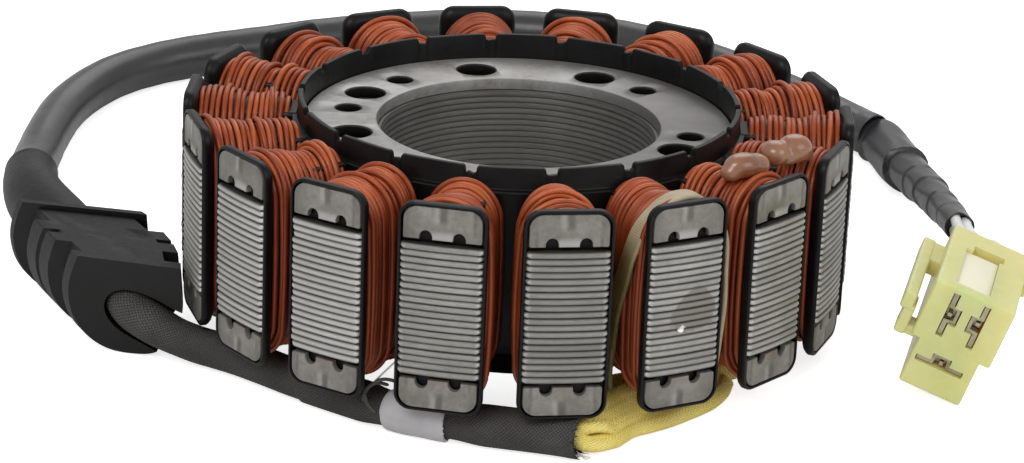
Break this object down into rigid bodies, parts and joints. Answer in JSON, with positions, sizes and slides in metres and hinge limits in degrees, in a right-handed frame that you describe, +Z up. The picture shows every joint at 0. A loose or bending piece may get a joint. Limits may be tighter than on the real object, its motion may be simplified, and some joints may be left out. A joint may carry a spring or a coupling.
{
  "type": "wound stator",
  "caption": "Wound alternator stator: laminated pole ring with enamelled copper coils and folded end plates, with a braided and sheathed lead, rubber grommet and plug.",
  "frame": {"origin": "on the floor under the middle of the pole ring's box; the lead, grommet and plug lie round it", "axes": "+Z up; the stator's own axis leans about 4 degrees, because the ring lies on its braided sleeve; -Y is the side of the sleeve"},
  "size_m": [0.1908, 0.2023, 0.0454],
  "materials": {
    "zinc_steel": "dull zinc plated, lightly stained",
    "lamination_steel": "bare punched steel sheet edges",
    "black_moulding": "satin black moulded coating",
    "enamelled_copper": "glossy orange enamel over copper",
    "tan_resin": "glossy tan resin",
    "yellow_glass_braid": "varnished yellow glass braid",
    "black_glass_braid": "matte black glass braid",
    "grey_shrink_band": "matte grey tape",
    "black_rubber": "matte black rubber",
    "grey_black_pvc": "satin black plastic sheath",
    "black_tape": "satin black adhesive tape",
    "white_insulation": "satin white wire insulation",
    "ivory_nylon": "translucent ivory nylon",
    "tinned_brass": "tinned brass"
  },
  "bodies": {
    "root": {"lamination_stack": "lamination_steel", "end_plate_top": "zinc_steel", "end_plate_bottom": "zinc_steel", "insulator": "black_moulding", "coil_01": "enamelled_copper", "coil_02": "enamelled_copper", "coil_03": "enamelled_copper", "coil_04": "enamelled_copper", "coil_05": "enamelled_copper", "coil_06": "enamelled_copper", "coil_07": "enamelled_copper", "coil_08": "enamelled_copper", "coil_09": "enamelled_copper", "coil_10": "enamelled_copper", "coil_11": "enamelled_copper", "coil_12": "enamelled_copper", "coil_13": "enamelled_copper", "coil_14": "enamelled_copper", "coil_15": "enamelled_copper", "coil_16": "enamelled_copper", "coil_17": "enamelled_copper", "coil_18": "enamelled_copper", "lead_strap": "yellow_glass_braid", "joint_cap_a": "tan_resin", "joint_cap_b": "tan_resin", "braided_sleeve": "black_glass_braid", "marker_band": "grey_shrink_band", "phase_sleeve_a": "yellow_glass_braid", "phase_sleeve_b": "yellow_glass_braid", "phase_sleeve_c": "yellow_glass_braid", "grommet": "black_rubber", "cable_boot": "black_rubber", "sheath_tube": "grey_black_pvc", "tape_wrap": "black_tape", "wire_a": "white_insulation", "wire_b": "white_insulation", "wire_c": "white_insulation", "connector_housing": "ivory_nylon", "terminal_a": "tinned_brass", "terminal_b": "tinned_brass", "terminal_c": "tinned_brass"}
  },
  "joints": []
}
